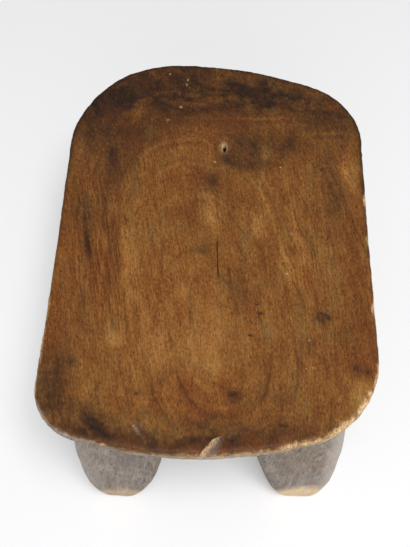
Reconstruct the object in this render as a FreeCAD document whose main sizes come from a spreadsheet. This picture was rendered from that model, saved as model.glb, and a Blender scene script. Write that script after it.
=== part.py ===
"""Low carved stool: a dished seat on four tapering legs, each leg held by a round stub tenon.

Millimetres, +Z up. The origin is on the floor under the middle of the seat. +Y runs to the back
of the stool and +X to the right of someone who looks along +Y.
"""

import FreeCAD
import Part

import math
import os

import Sketcher

SIZES = {
    # the seat's plan: two straight sides, an arc across each end and a round at each corner
    "seat_length": 358.0,
    "seat_width": 247.0,
    "back_end_radius": 290.0,
    "back_apex_left": 27.0,
    "front_end_radius": 311.0,
    "front_apex_left": 14.0,
    "back_right_corner": 65.0,
    "back_left_corner": 92.0,
    "front_left_corner": 41.0,
    "front_right_corner": 70.0,
    # the seat's hollow and thickness
    "hollow_height": 150.0,
    "end_rise": 10.0,
    "side_rise": 5.0,
    "middle_thickness": 22.0,
    "end_rim_thickness": 14.0,
    "side_rim_thickness": 14.0,
    "rim_top_round": 4.0,
    "rim_under_round": 4.0,
    # each leg: how far its tenon stands in from the seat's side and end, and its foot's splay
    "front_left_side_inset": 62.0,
    "front_left_end_inset": 49.5,
    "front_left_side_splay": 12.0,
    "front_left_end_splay": 16.0,
    "front_right_side_inset": 59.5,
    "front_right_end_inset": 58.0,
    "front_right_side_splay": 13.5,
    "front_right_end_splay": 21.0,
    "back_left_side_inset": 63.0,
    "back_left_end_inset": 57.0,
    "back_left_side_splay": 12.0,
    "back_left_end_splay": 13.0,
    "back_right_side_inset": 60.0,
    "back_right_end_inset": 63.0,
    "back_right_side_splay": 12.0,
    "back_right_end_splay": 14.0,
    # a leg's rounded sections, from the floor up to the level of the hollow
    "foot_width": 36.5,
    "foot_depth": 38.5,
    "foot_corner": 8.0,
    "foot_edge_round": 2.5,
    "shin_height": 40.0,
    "shin_width": 53.0,
    "shin_depth": 52.5,
    "shin_corner": 9.0,
    "shoulder_drop": 45.0,
    "shoulder_width": 68.5,
    "shoulder_depth": 61.5,
    "shoulder_corner": 15.0,
    "leg_top_width": 72.0,
    "leg_top_depth": 68.0,
    "leg_top_corner": 22.0,
    # the stub tenon and its blind mortise
    "tenon_diameter": 34.0,
    "tenon_end_chamfer": 1.5,
    "tenon_side_gap": 0.1,
    "tenon_end_gap": 0.5,
    "mortise_above_hollow": 1.0,
}

# each leg's side of the stool along X and along Y
LEGS = {
    "front_left": (-1, -1),
    "front_right": (1, -1),
    "back_left": (-1, 1),
    "back_right": (1, 1),
}

HALF_LENGTH = "sizes.seat_length / 2"
HALF_WIDTH = "sizes.seat_width / 2"
PAST_THE_SIDES = "0.55 * sizes.seat_width"
FLOOR = "0"
HOLLOW = "sizes.hollow_height"
UNDERSIDE = "sizes.hollow_height - sizes.middle_thickness"
ABOVE_SEAT = "2 * sizes.hollow_height"
MORTISE_CEILING = "sizes.hollow_height + sizes.mortise_above_hollow"
TENON_END = f"{MORTISE_CEILING} - sizes.tenon_end_gap"
HOLLOW_RISES = ("sizes.side_rise", "sizes.end_rise")
UNDERSIDE_RISES = (
    "sizes.middle_thickness + sizes.side_rise - sizes.side_rim_thickness",
    "sizes.middle_thickness + sizes.end_rise - sizes.end_rim_thickness",
)

# the largest share of a wall that one rounding may take
ROUND_SHARE = 0.35
# the largest share of a leg's section that one corner may take
CORNER_SHARE = 0.45
QUARTER_TURN = 90.0
LEAST_CHANGE = 1.0

# numbers that a sketch gives to the points of an edge, and to its own axes and origin
START, END, CENTRE = range(1, 4)
HORIZONTAL_AXIS, VERTICAL_AXIS = range(-1, -3, -1)
ORIGIN = (HORIZONTAL_AXIS, START)


def make_sheet(doc):
    """The driving dimensions, one named cell each."""
    sheet = doc.addObject("Spreadsheet::Sheet", "sizes")
    for row, (name, value) in enumerate(SIZES.items(), start=1):
        sheet.set(f"A{row}", f"{value:g}")
        sheet.setAlias(f"A{row}", name)
    doc.recompute()
    return sheet


def new_sketch(body, name, role, **offset):
    """A sketch on one of the body's own origin planes, moved by expressions for x, y or z."""
    sketch = body.newObject("Sketcher::SketchObject", name)
    plane = next(feature for feature in body.Origin.OriginFeatures if feature.Role == role)
    sketch.AttachmentSupport = [(plane, "")]
    sketch.MapMode = "FlatFace"
    for axis, expression in offset.items():
        sketch.setExpression(f"AttachmentOffset.Base.{axis}", expression)
    return sketch


def worth(item, expression):
    """An expression's value now, in millimetres."""
    return float(item.evalExpression(expression))


def relate(sketch, kind, *place):
    sketch.addConstraint(Sketcher.Constraint(kind, *place))


def bind(sketch, kind, *place, size):
    """A dimension on the sketch that follows an expression."""
    index = sketch.addConstraint(Sketcher.Constraint(kind, *place, worth(sketch, size)))
    sketch.setExpression(f"Constraints[{index}]", size)


def line(start, end):
    return Part.LineSegment(FreeCAD.Vector(*start, 0), FreeCAD.Vector(*end, 0))


def circle(centre, radius):
    return Part.Circle(FreeCAD.Vector(*centre, 0), FreeCAD.Vector(0, 0, 1), radius)


def arc(centre, radius, from_angle, to_angle):
    """A counter-clockwise arc, angles in radians."""
    return Part.ArcOfCircle(circle(centre, radius), from_angle, to_angle)


def direction(start, end):
    """The angle from one point to another, from nought to a whole turn."""
    return math.atan2(end[1] - start[1], end[0] - start[0]) % math.tau


def close_ring(sketch, kind, count):
    """Joins each of the first count edges to the next one."""
    for edge in range(count):
        relate(sketch, kind, edge, END, (edge + 1) % count, START)


def corner_centre(half_width, side, end, radius, end_centre, end_radius):
    """The centre of a corner that touches a side line and an end arc from inside."""
    x = side * (half_width - radius)
    reach = math.sqrt((end_radius - radius) ** 2 - (x - end_centre[0]) ** 2)
    return x, end_centre[1] + end * reach


def draw_seat_plan(sketch, sheet):
    """The seat seen from above, counter-clockwise from the right side."""
    half_width = sheet.seat_width / 2
    ends = {
        "back": (-sheet.back_apex_left, sheet.seat_length / 2 - sheet.back_end_radius),
        "front": (-sheet.front_apex_left, sheet.front_end_radius - sheet.seat_length / 2),
    }
    corners, turns = {}, {}
    for leg, (side, end) in LEGS.items():
        name = leg.split("_")[0]
        radius, end_radius = sheet.get(f"{leg}_corner"), sheet.get(f"{name}_end_radius")
        corners[leg] = corner_centre(half_width, side, end, radius, ends[name], end_radius)
        turns[leg] = direction(ends[name], corners[leg])
    right, left = 0.0, math.pi
    edges = {
        "right_side": line((half_width, corners["front_right"][1]), (half_width, corners["back_right"][1])),
        "back_right": arc(corners["back_right"], sheet.back_right_corner, right, turns["back_right"]),
        "back": arc(ends["back"], sheet.back_end_radius, turns["back_right"], turns["back_left"]),
        "back_left": arc(corners["back_left"], sheet.back_left_corner, turns["back_left"], left),
        "left_side": line((-half_width, corners["back_left"][1]), (-half_width, corners["front_left"][1])),
        "front_left": arc(corners["front_left"], sheet.front_left_corner, left, turns["front_left"]),
        "front": arc(ends["front"], sheet.front_end_radius, turns["front_left"], turns["front_right"]),
        "front_right": arc(corners["front_right"], sheet.front_right_corner, turns["front_right"], right),
    }
    sketch.addGeometry(list(edges.values()))
    edge = {name: number for number, name in enumerate(edges)}
    close_ring(sketch, "Tangent", len(edges))
    relate(sketch, "Vertical", edge["right_side"])
    relate(sketch, "Vertical", edge["left_side"])
    bind(sketch, "DistanceX", *ORIGIN, edge["right_side"], START, size=HALF_WIDTH)
    bind(sketch, "DistanceX", edge["left_side"], START, *ORIGIN, size=HALF_WIDTH)
    for name in ends:
        bind(sketch, "Radius", edge[name], size=f"sizes.{name}_end_radius")
        bind(sketch, "DistanceX", edge[name], CENTRE, *ORIGIN, size=f"sizes.{name}_apex_left")
    past_middle = f"_end_radius - {HALF_LENGTH}"
    bind(sketch, "DistanceY", edge["back"], CENTRE, *ORIGIN, size=f"sizes.back{past_middle}")
    bind(sketch, "DistanceY", *ORIGIN, edge["front"], CENTRE, size=f"sizes.front{past_middle}")
    for leg in LEGS:
        bind(sketch, "Radius", edge[leg], size=f"sizes.{leg}_corner")


def bow_radius(half_span, rise):
    """Expression for the radius of an arc that has risen by rise at half_span from its middle."""
    return f"(({half_span})^2 + ({rise})^2) / (2 * ({rise}))"


def draw_bowed_strip(sketch, level, rises, limit):
    """A strip across the stool, between a bowed edge at level and a straight edge at limit.

    Swung about its construction line it covers all that lies on the limit's side of a surface that
    has risen by rises[0] at the seat's sides and by rises[1] at its ends.
    """
    across, along = bow_radius(HALF_WIDTH, rises[0]), bow_radius(HALF_LENGTH, rises[1])
    bow_centre, hinge = f"{level} + {across}", f"{level} + {along}"
    radius, centre, reach = worth(sketch, across), worth(sketch, bow_centre), worth(sketch, PAST_THE_SIDES)
    far, axis_height = worth(sketch, limit), worth(sketch, hinge)
    spread = math.asin(reach / radius)
    near = centre - radius * math.cos(spread)
    down = 1.5 * math.pi
    strip = [
        arc((0, centre), radius, down - spread, down + spread),
        line((reach, near), (reach, far)),
        line((reach, far), (-reach, far)),
        line((-reach, far), (-reach, near)),
    ]
    sketch.addGeometry(strip)
    sketch.addGeometry(line((-reach, axis_height), (reach, axis_height)), True)
    bow, right_end, far_edge, left_end, axis = range(5)
    close_ring(sketch, "Coincident", len(strip))
    relate(sketch, "Vertical", right_end)
    relate(sketch, "Vertical", left_end)
    relate(sketch, "Horizontal", far_edge)
    relate(sketch, "Horizontal", axis)
    relate(sketch, "PointOnObject", bow, CENTRE, VERTICAL_AXIS)
    bind(sketch, "Radius", bow, size=across)
    bind(sketch, "DistanceY", *ORIGIN, bow, CENTRE, size=bow_centre)
    bind(sketch, "DistanceY", *ORIGIN, far_edge, START, size=limit)
    bind(sketch, "DistanceY", *ORIGIN, axis, START, size=hinge)
    for edge, point in ((right_end, END), (axis, END)):
        bind(sketch, "DistanceX", *ORIGIN, edge, point, size=PAST_THE_SIDES)
    for edge, point in ((left_end, START), (axis, START)):
        bind(sketch, "DistanceX", edge, point, *ORIGIN, size=PAST_THE_SIDES)


def carve(body, name, level, rises, limit):
    """Takes a bowed strip, swung both ways about its axis, away from the body."""
    profile = new_sketch(body, f"{name}_profile", "XZ_Plane")
    draw_bowed_strip(profile, level, rises, limit)
    groove = body.newObject("PartDesign::Groove", name)
    groove.Profile = profile
    groove.ReferenceAxis = (profile, ["Axis0"])
    groove.Angle = QUARTER_TURN
    groove.Midplane = True
    body.Document.recompute()
    return groove


def draw_rounded_block(sketch, width, depth, corner):
    """A rounded rectangle about the sketch's origin."""
    half_width, half_depth = f"{width} / 2", f"{depth} / 2"
    limited = f"min({corner}; {CORNER_SHARE} * {width}; {CORNER_SHARE} * {depth})"
    x, y, radius = worth(sketch, half_width), worth(sketch, half_depth), worth(sketch, limited)
    flat_x, flat_y, quarter = x - radius, y - radius, math.pi / 2
    edges = [
        line((x, -flat_y), (x, flat_y)),
        arc((flat_x, flat_y), radius, 0, quarter),
        line((flat_x, y), (-flat_x, y)),
        arc((-flat_x, flat_y), radius, quarter, 2 * quarter),
        line((-x, flat_y), (-x, -flat_y)),
        arc((-flat_x, -flat_y), radius, 2 * quarter, 3 * quarter),
        line((-flat_x, -y), (flat_x, -y)),
        arc((flat_x, -flat_y), radius, 3 * quarter, 4 * quarter),
    ]
    sketch.addGeometry(edges)
    right, first_corner, back, second_corner, left, third_corner, front, last_corner = range(len(edges))
    close_ring(sketch, "Tangent", len(edges))
    for side in (right, left):
        relate(sketch, "Vertical", side)
    for side in (back, front):
        relate(sketch, "Horizontal", side)
    for other in (second_corner, third_corner, last_corner):
        relate(sketch, "Equal", first_corner, other)
    bind(sketch, "Radius", first_corner, size=limited)
    bind(sketch, "DistanceX", *ORIGIN, right, START, size=half_width)
    bind(sketch, "DistanceX", left, START, *ORIGIN, size=half_width)
    bind(sketch, "DistanceY", *ORIGIN, back, START, size=half_depth)
    bind(sketch, "DistanceY", front, START, *ORIGIN, size=half_depth)


def draw_disc(sketch, diameter):
    sketch.addGeometry(circle((0, 0), worth(sketch, diameter) / 2))
    relate(sketch, "Coincident", 0, CENTRE, *ORIGIN)
    bind(sketch, "Diameter", 0, size=diameter)


def edges_round_face_at(feature, point):
    """Names of the edges round the face of a feature that holds a point."""
    vertex = Part.Vertex(point)
    face = min(feature.Shape.Faces, key=lambda one: one.distToShape(vertex)[0])
    return [
        f"Edge{number}"
        for number, edge in enumerate(feature.Shape.Edges, start=1)
        if any(edge.isSame(own) for own in face.OuterWire.Edges)
    ]


def ease(body, kind, name, feature, point, size):
    """A fillet or chamfer round the face that holds a point."""
    eased = body.newObject(f"PartDesign::{kind}", name)
    eased.Base = (feature, edges_round_face_at(feature, point))
    eased.setExpression("Radius" if kind == "Fillet" else "Size", size)
    body.Document.recompute()
    return eased


def tenon_place(leg):
    """Expressions for the middle of a leg's tenon, measured in from the seat's edges."""
    side, end = LEGS[leg]
    return {
        "x": f"{side} * ({HALF_WIDTH} - sizes.{leg}_side_inset)",
        "y": f"{end} * ({HALF_LENGTH} - sizes.{leg}_end_inset)",
    }


def leg_place(leg, level):
    """Expressions for the middle of a leg at a level: the foot splays out from under the tenon."""
    side, end = LEGS[leg]
    drop = f"(1 - ({level}) / sizes.hollow_height)"
    top = tenon_place(leg)
    return {
        "x": f"{top['x']} + {side} * sizes.{leg}_side_splay * {drop}",
        "y": f"{top['y']} + {end} * sizes.{leg}_end_splay * {drop}",
    }


def make_seat(doc, sheet):
    """The dished seat with four blind mortises in its underside."""
    body = doc.addObject("PartDesign::Body", "seat")
    plan = new_sketch(body, "seat_plan", "XY_Plane", z=f"{HOLLOW} - 2 * sizes.middle_thickness")
    draw_seat_plan(plan, sheet)
    board = body.newObject("PartDesign::Pad", "seat_board")
    board.Profile = plan
    board.setExpression("Length", "4 * sizes.middle_thickness")
    doc.recompute()
    carve(body, "sitting_hollow", HOLLOW, HOLLOW_RISES, ABOVE_SEAT)
    under = carve(body, "bowed_underside", UNDERSIDE, UNDERSIDE_RISES, FLOOR)
    wall = f"{ROUND_SHARE} * min(sizes.end_rim_thickness; sizes.side_rim_thickness)"
    in_hollow = FreeCAD.Vector(0, 0, worth(sheet, HOLLOW))
    top = ease(body, "Fillet", "rim_top_rounding", under, in_hollow, f"min(sizes.rim_top_round; {wall})")
    below = FreeCAD.Vector(0, 0, worth(sheet, UNDERSIDE))
    ease(body, "Fillet", "rim_under_rounding", top, below, f"min(sizes.rim_under_round; {wall})")
    for leg in LEGS:
        ceiling = new_sketch(body, f"{leg}_mortise_plan", "XY_Plane", **tenon_place(leg), z=MORTISE_CEILING)
        draw_disc(ceiling, "(sizes.tenon_diameter + 2 * sizes.tenon_side_gap)")
        mortise = body.newObject("PartDesign::Pocket", f"{leg}_mortise")
        mortise.Profile = ceiling
        mortise.setExpression("Length", "2 * sizes.middle_thickness")
    doc.recompute()
    return body


def make_leg(doc, sheet, leg):
    """One leg: four rounded sections, a top that fits the seat's underside, and its tenon."""
    body = doc.addObject("PartDesign::Body", f"{leg}_leg")
    levels = {
        "foot": FLOOR,
        "shin": "sizes.shin_height",
        "shoulder": "sizes.hollow_height - sizes.shoulder_drop",
        "leg_top": HOLLOW,
    }
    sections = []
    for name, level in levels.items():
        section = new_sketch(body, f"{leg}_{name}_section", "XY_Plane", **leg_place(leg, level), z=level)
        draw_rounded_block(section, *(f"sizes.{name}_{size}" for size in ("width", "depth", "corner")))
        sections.append(section)
    taper = body.newObject("PartDesign::AdditiveLoft", f"{leg}_taper")
    taper.Profile = sections[0]
    taper.Sections = sections[1:]
    doc.recompute()
    seating = carve(body, f"{leg}_seating", UNDERSIDE, UNDERSIDE_RISES, ABOVE_SEAT)
    foot_middle = (worth(sheet, place) for place in leg_place(leg, FLOOR).values())
    sole = FreeCAD.Vector(*foot_middle, worth(sheet, FLOOR))
    ease(body, "Fillet", f"{leg}_worn_foot_edge", seating, sole, "sizes.foot_edge_round")
    end = new_sketch(body, f"{leg}_tenon_plan", "XY_Plane", **tenon_place(leg), z=TENON_END)
    draw_disc(end, "sizes.tenon_diameter")
    tenon = body.newObject("PartDesign::Pad", f"{leg}_tenon")
    tenon.Profile = end
    tenon.Reversed = True
    tenon.setExpression("Length", "sizes.middle_thickness")
    doc.recompute()
    tenon_middle = (worth(sheet, place) for place in tenon_place(leg).values())
    tip = FreeCAD.Vector(*tenon_middle, worth(sheet, TENON_END))
    ease(body, "Chamfer", f"{leg}_tenon_lead_in", tenon, tip, "sizes.tenon_end_chamfer")
    return body


def check(doc, bodies):
    """Stops the build at a failed object, a feature that changed nothing or an unsound solid."""
    for item in doc.Objects:
        if {"Invalid", "Error"} & set(item.State):
            raise RuntimeError(f"{item.Label} failed: {item.State}")
        base = getattr(item, "BaseFeature", None)
        if base and item.isDerivedFrom("PartDesign::Feature"):
            if abs(base.Shape.Volume - item.Shape.Volume) < LEAST_CHANGE:
                raise RuntimeError(f"{item.Label} neither cut nor added anything")
    for body in bodies:
        shape = body.Shape
        if shape.isNull() or not shape.isValid() or len(shape.Solids) != 1:
            raise RuntimeError(f"{body.Label} is not one valid solid")


def main():
    doc = FreeCAD.newDocument("stool")
    sheet = make_sheet(doc)
    bodies = [make_seat(doc, sheet)]
    bodies += [make_leg(doc, sheet, leg) for leg in LEGS]
    doc.recompute()
    check(doc, bodies)
    os.makedirs("parts", exist_ok=True)
    for body in bodies:
        body.Shape.exportStep(f"parts/{body.Label}.step")
        box = body.Shape.optimalBoundingBox()
        print(
            f"{body.Label}: {body.Shape.Volume / 1000:.1f} cm3,"
            f" x {box.XMin:.1f} to {box.XMax:.1f}, y {box.YMin:.1f} to {box.YMax:.1f},"
            f" z {box.ZMin:.1f} to {box.ZMax:.1f}"
        )


main()
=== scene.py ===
# %% [markdown]
# # A low stool carved from one log
# Stools of this kind are hewn with an adze from one block of hardwood: a dished seat on four stout legs,
# rubbed golden by years of sitting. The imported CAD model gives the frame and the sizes. This file
# dresses it: every piece is modelled again with the wobble, the cracks and the wear of hand work. Pieces
# are drawn in millimetres and brought to metres at the end.

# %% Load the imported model
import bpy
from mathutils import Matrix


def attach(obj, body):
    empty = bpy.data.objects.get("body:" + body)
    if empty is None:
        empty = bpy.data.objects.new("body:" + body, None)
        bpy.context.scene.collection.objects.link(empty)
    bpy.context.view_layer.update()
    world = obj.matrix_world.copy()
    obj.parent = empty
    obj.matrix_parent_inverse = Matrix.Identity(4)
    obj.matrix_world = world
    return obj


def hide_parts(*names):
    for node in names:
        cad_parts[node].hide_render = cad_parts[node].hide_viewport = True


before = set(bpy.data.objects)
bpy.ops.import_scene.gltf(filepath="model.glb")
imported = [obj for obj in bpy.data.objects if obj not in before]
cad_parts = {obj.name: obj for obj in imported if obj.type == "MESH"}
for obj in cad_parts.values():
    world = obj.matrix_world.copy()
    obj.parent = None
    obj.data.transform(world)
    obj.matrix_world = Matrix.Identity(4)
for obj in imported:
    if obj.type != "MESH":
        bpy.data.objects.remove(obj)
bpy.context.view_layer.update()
print("CAD pieces:", sorted(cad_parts))

# %% [markdown]
# ## The outline of the seat
# Seen from above the seat is a rectangle gone soft: two straight sides, two bowed ends and four corners,
# each with its own radius. A bent circle or cube would never meet the CAD plan, so the outline is walked
# as a compass would draw it: one vertex is spun round each arc's centre, or slid along each straight
# side, and leaves a chain of edges behind.

# %% Walk round the outline
import math
import bmesh
import bpy
from mathutils import Matrix, Vector, kdtree, noise

STEP = 1.65  # mm between vertices, fine enough for the small chips on the rim
SIDE = 123.5  # half the width: both long sides are straight
BACK_CENTRE, BACK_RADIUS = Vector((-27, -111, 0)), 290
FRONT_CENTRE, FRONT_RADIUS = Vector((-14, 132, 0)), 311
BACK_RIGHT, BACK_LEFT, FRONT_LEFT, FRONT_RIGHT = 65, 92, 41, 70  # mm, the radii of the corners


def corner(side, radius, end_centre, end_radius, end):
    """Centre of a corner's arc, and the angle at which it meets the arc of the end."""
    x = side * (SIDE - radius)
    y = end_centre.y + end * math.sqrt((end_radius - radius) ** 2 - (x - end_centre.x) ** 2)
    return Vector((x, y, 0)), math.atan2(y - end_centre.y, x - end_centre.x)


back_right, back_right_angle = corner(1, BACK_RIGHT, BACK_CENTRE, BACK_RADIUS, 1)
back_left, back_left_angle = corner(-1, BACK_LEFT, BACK_CENTRE, BACK_RADIUS, 1)
front_left, front_left_angle = corner(-1, FRONT_LEFT, FRONT_CENTRE, FRONT_RADIUS, -1)
front_right, front_right_angle = corner(1, FRONT_RIGHT, FRONT_CENTRE, FRONT_RADIUS, -1)
runs = [  # centre, radius, turn and slide of each run, anticlockwise from the end of the right side
    (back_right, BACK_RIGHT, back_right_angle, 0),
    (BACK_CENTRE, BACK_RADIUS, back_left_angle - back_right_angle, 0),
    (back_left, BACK_LEFT, math.pi - back_left_angle, 0),
    (back_left, 0, 0, front_left.y - back_left.y),
    (front_left, FRONT_LEFT, math.pi + front_left_angle, 0),
    (FRONT_CENTRE, FRONT_RADIUS, front_right_angle - front_left_angle, 0),
    (front_right, FRONT_RIGHT, -front_right_angle, 0),
    (front_right, 0, 0, back_right.y - front_right.y),
]

seat = bmesh.new()
walker = seat.verts.new((SIDE, back_right.y, 0))
for centre, radius, turn, slide in runs:
    steps = 2 * round((radius * turn + abs(slide)) / STEP / 2)
    walked = bmesh.ops.spin(
        seat, geom=[walker], cent=centre, axis=(0, 0, 1), angle=turn,
        steps=steps, dvec=(0, slide / steps, 0),
    )
    walker = walked["geom_last"][0]
bmesh.ops.remove_doubles(seat, verts=seat.verts[:], dist=0.01)
print("outline has", len(seat.verts), "vertices and ends", tuple(round(c, 2) for c in walker.co))

# %% [markdown]
# ## The faces of the seat
# The top is dished both ways, deepest in the middle, and the underside follows it so that the rim is
# thinner than the middle. Both faces are one short sum each. Every ring of the rim starts from the points
# of the outline and the directions that point outwards from it. No carver cuts as true as a compass, so
# noise sways the points a little, and wear takes a millimetre off the front edge. A k-d tree of the points
# tells later how far inside the rim any other point lies.

# %% Measure the outline and the two faces
HOLLOW, BELLY = 150, 128  # mm from the floor to the middle of the top and of the underside
DISH_END, DISH_SIDE = 10, 5  # mm that the top rises at the ends and at the sides
BELLY_END, BELLY_SIDE = 18, 13  # mm that the underside rises there
HALF_LENGTH = 179  # mm
SWAYS = ((45, 0.7), (12, 0.25))  # mm, length and height of the sways of the outline
DRAWN_IN = 0.4  # mm that the outline is drawn in to make room for the sways
FRONT_WEAR, WEAR_REACH = 1.2, 70  # mm worn off the front edge, and how far to the sides that goes
FRONT_EDGE = -150  # the front edge is all that lies before this y


def top(x, y):
    """Height of the dished top."""
    return HOLLOW + DISH_END * (y / HALF_LENGTH) ** 2 + DISH_SIDE * (x / SIDE) ** 2


def under(x, y):
    """Height of the underside."""
    return BELLY + BELLY_END * (y / HALF_LENGTH) ** 2 + BELLY_SIDE * (x / SIDE) ** 2


around = seat.verts.layers.int.new("around")
seat.verts.ensure_lookup_table()
outline = [vert.co.copy() for vert in seat.verts]
count = len(outline)
outward = []
for index, vert in enumerate(seat.verts):
    along = outline[(index + 1) % count] - outline[index - 1]
    outward.append(Vector((along.y, -along.x, 0)).normalized())
    vert[around] = index
for index, point in enumerate(outline):
    sway = sum(noise.noise(point / length) * height for length, height in SWAYS)
    worn = FRONT_WEAR * math.exp(-(point.x / WEAR_REACH) ** 2) if point.y < FRONT_EDGE else 0
    outline[index] = point + outward[index] * (sway - DRAWN_IN - worn)

rim_tree = kdtree.KDTree(count)
for index, point in enumerate(outline):
    rim_tree.insert(point, index)
rim_tree.balance()


def inside_rim(x, y):
    """How many mm a point lies inside the outline, and the number of the nearest outline point."""
    nearest, index, _ = rim_tree.find((x, y, 0))
    return (nearest - Vector((x, y, 0))).dot(outward[index]), index


print("outline of", count, "points; the seat's middle lies", round(inside_rim(0, 0)[0]), "mm inside it")

# %% [markdown]
# ## The rim, ring by ring
# The rim is a short wall with a soft round above and below. A bevelled slab would be too even, so each ring
# is extruded from the last one and set in its own place: how far in from the outline, and how far from the
# top or the underside. An extruded vertex keeps the number it got on the outline, so it always knows where
# it belongs.

# %% Extrude the rim up and down
ROUND = 4  # mm, the radius of both rounds of the rim
WALL_MIDDLE = 7  # mm below the top, where the first ring lies on the wall
TOP_RINGS = (5.5, 7.5, 10, 12.5)  # mm in from the outline, the rings between the round and the net
UNDER_RINGS = (6.5, 9.5, 12.5)


def next_ring(mesh, edges, place):
    """Extrudes a ring of edges, sets each new vertex in its place and returns the new ring."""
    made = bmesh.ops.extrude_edge_only(mesh, edges=edges)["geom"]
    for item in made:
        if isinstance(item, bmesh.types.BMVert):
            item.co = place(item)
    return [item for item in made if isinstance(item, bmesh.types.BMEdge)]


def rim_place(face, inset, away):
    """Where a rim vertex goes: inset mm in from the outline and away mm from a face of the seat."""
    def place(vert):
        point = outline[vert[around]] - outward[vert[around]] * inset
        point.z = face(point.x, point.y) + away
        return point
    return place


arc = [math.radians(15 * step) for step in range(7)]
rounded = [(ROUND - ROUND * math.cos(angle), ROUND - ROUND * math.sin(angle)) for angle in arc]
middle = seat.edges[:]
for vert in seat.verts:
    vert.co = rim_place(top, 0, -WALL_MIDDLE)(vert)
upper = middle
for inset, away in rounded + [(ring, 0) for ring in TOP_RINGS]:
    upper = next_ring(seat, upper, rim_place(top, inset, -away))
lower = middle
for inset, away in rounded + [(ring, 0) for ring in UNDER_RINGS]:
    lower = next_ring(seat, lower, rim_place(under, inset, away))
print("rim has", len(seat.faces), "faces")

# %% [markdown]
# ## The top and the underside
# Both faces are still open inside the rim. One polygon would leave nothing to carve, and rings drawn in to
# a point would crowd at the middle. Grid fill weaves an even net between two opposite sides of the opening
# instead, and the net is then lowered onto the dish.

# %% Fill both faces with an even net
LONG_SHARE = 0.93  # share of the seat's length that a long side of the net takes
across = count // 2 - round(HALF_LENGTH * 2 * LONG_SHARE / STEP)  # edges of the net along an end


def fill_face(edges, face):
    """Weaves a net across a ring of edges and lays it on a face of the seat."""
    first = round(BACK_RIGHT * back_right_angle / STEP / 2)
    long_side = count // 2 - across
    left = {(first + across + step) % count for step in range(long_side + 1)}
    right = {(first + 2 * across + long_side + step) % count for step in range(long_side + 1)}
    sides = [edge for edge in edges if {vert[around] for vert in edge.verts} <= left
             or {vert[around] for vert in edge.verts} <= right]
    filled = bmesh.ops.grid_fill(seat, edges=sides)["faces"]
    for vert in {vert for item in filled for vert in item.verts}:
        vert.co.z = face(vert.co.x, vert.co.y)
    return len(filled)


print("top net", fill_face(upper, top), "faces, underside net", fill_face(lower, under), "faces")
bmesh.ops.recalc_face_normals(seat, faces=seat.faces[:])
print("open edges left:", sum(edge.is_boundary for edge in seat.edges))

# %% [markdown]
# ## Marks that time left
# Wood that dries too fast splits along the grain: the seat has a drying check in the middle and a finer one
# beside it. A small knot has fallen out near the back, a splinter has broken off the front edge, and there
# are a few insect holes. They are real hollows, because a painted crack gives itself away as soon as the
# light moves. The net is cut along each check and subdivided round each hole, each fleck and the scar.

# %% Cut the net where the marks are
CHECKS = [  # start, end, width and depth in mm
    (Vector((3.2, 2.2)), Vector((4.8, -33.7)), 1.2, 6),
    (Vector((12.3, -22.6)), Vector((14.9, -38.7)), 0.6, 3),
]
PITS = [  # x, y, half width, half length and depth in mm: the knot first, then the insect holes
    (7.4, 90.3, 1.3, 3.4, 5),
    (34.8, -56.8, 1.5, 1.0, 0.9),
    (37.1, -64.6, 1.5, 1.1, 0.9),
    (29.6, -83.4, 1.6, 1.1, 0.9),
    (-50.9, -133.1, 1.5, 1.1, 0.9),
]
FLECKS = [  # x, y and size in mm of small flecks of bare wood
    (-42.6, 166.9, 0.7), (-26.4, 161.2, 0.8), (-27, 156, 0.7), (-31.3, 132.1, 0.9), (-41.9, 117.9, 0.8),
    (-50.9, -158.1, 0.5), (72.9, -87.2, 0.6), (-71.9, -173.8, 1.0), (-67.1, -175.3, 1.0), (58, -30, 0.6),
    (-0.3, 76.6, 0.8), (54.3, 71.7, 0.7), (69.8, -110.2, 0.45), (74.8, -109.7, 0.45),
]
CHIP_LIP = [Vector((-5.2, -178)), Vector((3.8, -166.4)), Vector((9.5, -163.2))]  # edge of the scar
CUT_BESIDE, CUT_BEYOND = 4, 3  # mm of the net that are cut beside a check and beyond its ends
SPOT_REACH = 5  # mm of the net that are subdivided round a spot
CHIP_LEFT, CHIP_RIGHT, CHIP_BACK = -9, 18, -160  # x, x and y in mm, bounds of the net round the scar
LOOKS_UP = 0.3  # the top is every face whose normal rises by more than this


def top_faces_near(reach):
    """Faces of the top for whose middle the test reach(point) holds."""
    upper_faces = [item for item in seat.faces if item.normal.z > LOOKS_UP]
    return [item for item in upper_faces if reach(item.calc_center_median().xy)]


for start, end, width, _ in CHECKS:
    line = (end - start).normalized()
    square = Vector((-line.y, line.x))
    for shift in (-width / 2, 0, width / 2):
        near = top_faces_near(
            lambda point: abs((point - start).dot(square)) < CUT_BESIDE
            and -CUT_BEYOND < (point - start).dot(line) < (end - start).length + CUT_BEYOND
        )
        region = list({part for item in near for part in [*item.verts, *item.edges, item]})
        bmesh.ops.bisect_plane(
            seat, geom=region, dist=0.02,
            plane_co=(start + square * shift).to_3d(), plane_no=square.to_3d(),
        )

spots = [Vector(spot[:2]) for spot in PITS + FLECKS]
pitted = top_faces_near(lambda point: any((point - spot).length < SPOT_REACH for spot in spots))
chipped = top_faces_near(lambda point: CHIP_LEFT < point.x < CHIP_RIGHT and point.y < CHIP_BACK)
edges = list({edge for item in pitted + chipped for edge in item.edges})
bmesh.ops.subdivide_edges(seat, edges=edges, cuts=3, use_grid_fill=True)
print("seat net after cutting:", len(seat.faces), "faces")

# %% [markdown]
# Each mark now sinks the vertices inside it. Checks are narrow wedges that die out at both ends, pits are
# bowls, and the scar drops sharply behind its lip and climbs back to the top. The underside gets the
# shallow scallops of the adze, the rim is rough, and the top has only the faintest swell of hand work.

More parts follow.
